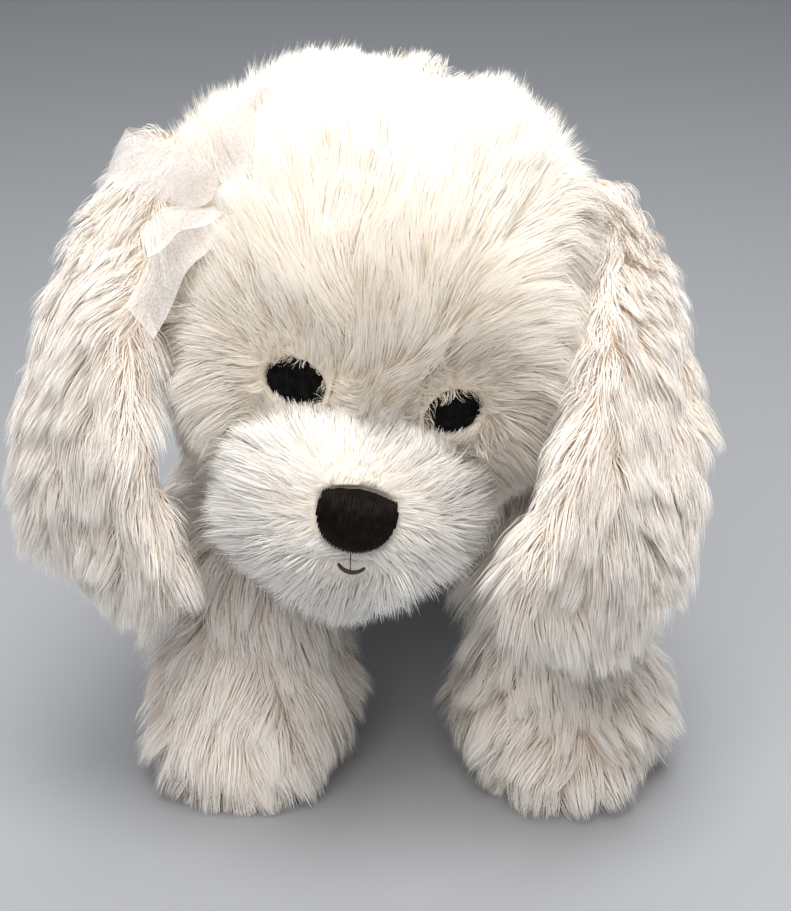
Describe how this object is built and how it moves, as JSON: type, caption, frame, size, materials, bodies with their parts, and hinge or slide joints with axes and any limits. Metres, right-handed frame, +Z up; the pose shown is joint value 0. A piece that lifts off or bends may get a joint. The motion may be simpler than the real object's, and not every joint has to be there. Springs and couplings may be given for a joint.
{
  "type": "plush dog",
  "caption": "Standing long-pile plush puppy with a tilted floppy head, hanging ears, embroidered eyes and nose, stuffed legs, a pom tail and a sheer ribbon bow.",
  "frame": {"origin": "bottom centre of the toy's box, on the floor under the four paws", "axes": "+Z up; the dog faces -Y; +X is the dog's left"},
  "size_m": [0.2272, 0.3362, 0.2657],
  "materials": {
    "plush": "matte long pile",
    "muzzle_plush": "matte long pile",
    "warm_plush": "matte long pile",
    "ear_lining": "matte short pile",
    "sole": "matte short pile",
    "neck_cloth": "matte knitted backing",
    "gather_thread": "matte thread",
    "filling": "matte loose fibre",
    "eye_satin": "satin stitch",
    "nose_satin": "satin stitch",
    "mouth_thread": "satin thread",
    "organza": "sheer, slightly shiny"
  },
  "bodies": {
    "torso": {"body_panel_left": "plush", "body_panel_right": "plush", "belly_panel": "plush", "body_stuffing": "filling"},
    "neck_base": {"neck_cover": "neck_cloth"},
    "neck_rim": {"neck_gather_thread": "gather_thread"},
    "head": {"head_panel_left": "plush", "head_panel_right": "plush", "crown_gusset": "plush", "muzzle_panel": "muzzle_plush", "chin_panel": "muzzle_plush", "head_stuffing": "filling", "eye_left": "eye_satin", "eye_right": "eye_satin", "nose": "nose_satin", "mouth_stitch": "mouth_thread", "bow_loop_front": "organza", "bow_loop_back": "organza", "bow_tail_front": "organza", "bow_tail_back": "organza", "bow_knot": "organza"},
    "ear_left": {"ear_panel_left": "warm_plush", "ear_lining_left": "ear_lining"},
    "ear_right": {"ear_panel_right": "warm_plush", "ear_lining_right": "ear_lining"},
    "fore_leg_left": {"fore_leg_cover_left": "warm_plush", "fore_leg_stuffing_left": "filling", "fore_paw_sole_left": "sole"},
    "fore_leg_right": {"fore_leg_cover_right": "warm_plush", "fore_leg_stuffing_right": "filling", "fore_paw_sole_right": "sole"},
    "hind_leg_left": {"hind_leg_cover_left": "warm_plush", "hind_leg_stuffing_left": "filling", "hind_paw_sole_left": "sole"},
    "hind_leg_right": {"hind_leg_cover_right": "warm_plush", "hind_leg_stuffing_right": "filling", "hind_paw_sole_right": "sole"},
    "tail": {"tail_cover": "plush", "tail_stuffing": "filling"}
  },
  "joints": [
    {"name": "head_turn", "type": "hinge", "parent": "torso", "child": "neck_base", "pos_m": [0.01606, -0.04312, 0.13], "axis": [0, 0, 1], "range_deg": [-16, 16], "stiffness_Nm_per_rad": 3},
    {"name": "head_tilt", "type": "hinge", "parent": "neck_base", "child": "neck_rim", "pos_m": [0.01606, -0.04312, 0.13], "axis": [0, 1, 0], "range_deg": [-10, 6], "stiffness_Nm_per_rad": 3},
    {"name": "head_nod", "type": "hinge", "parent": "neck_rim", "child": "head", "pos_m": [0.01606, -0.04312, 0.13], "axis": [1, 0, 0], "range_deg": [-10, 7], "stiffness_Nm_per_rad": 3},
    {"name": "ear_left_lift", "type": "hinge", "parent": "head", "child": "ear_left", "pos_m": [0.08164, -0.06836, 0.21557], "axis": [-0.7636, -0.5293, 0.3699], "range_deg": [0, 60], "stiffness_Nm_per_rad": 0.06},
    {"name": "ear_right_lift", "type": "hinge", "parent": "head", "child": "ear_right", "pos_m": [-0.06283, -0.07912, 0.2334], "axis": [-0.7783, 0.6279, 0.0086], "range_deg": [0, 42], "stiffness_Nm_per_rad": 0.06},
    {"name": "tail_wag", "type": "hinge", "parent": "torso", "child": "tail", "pos_m": [0.01606, 0.13408, 0.16585], "axis": [0, 0, 1], "range_deg": [-30, 30], "stiffness_Nm_per_rad": 0.1},
    {"name": "fore_leg_left_swing", "type": "hinge", "parent": "torso", "child": "fore_leg_left", "pos_m": [0.06795, -0.05712, 0.09], "axis": [1, 0, 0], "range_deg": [-30, 30], "stiffness_Nm_per_rad": 1.5},
    {"name": "fore_leg_right_swing", "type": "hinge", "parent": "torso", "child": "fore_leg_right", "pos_m": [-0.03583, -0.05712, 0.09], "axis": [1, 0, 0], "range_deg": [-30, 30], "stiffness_Nm_per_rad": 1.5},
    {"name": "hind_leg_left_swing", "type": "hinge", "parent": "torso", "child": "hind_leg_left", "pos_m": [0.07699, 0.08688, 0.09], "axis": [1, 0, 0], "range_deg": [-30, 30], "stiffness_Nm_per_rad": 1.5},
    {"name": "hind_leg_right_swing", "type": "hinge", "parent": "torso", "child": "hind_leg_right", "pos_m": [-0.04487, 0.08688, 0.09], "axis": [1, 0, 0], "range_deg": [-30, 30], "stiffness_Nm_per_rad": 1.5}
  ]
}
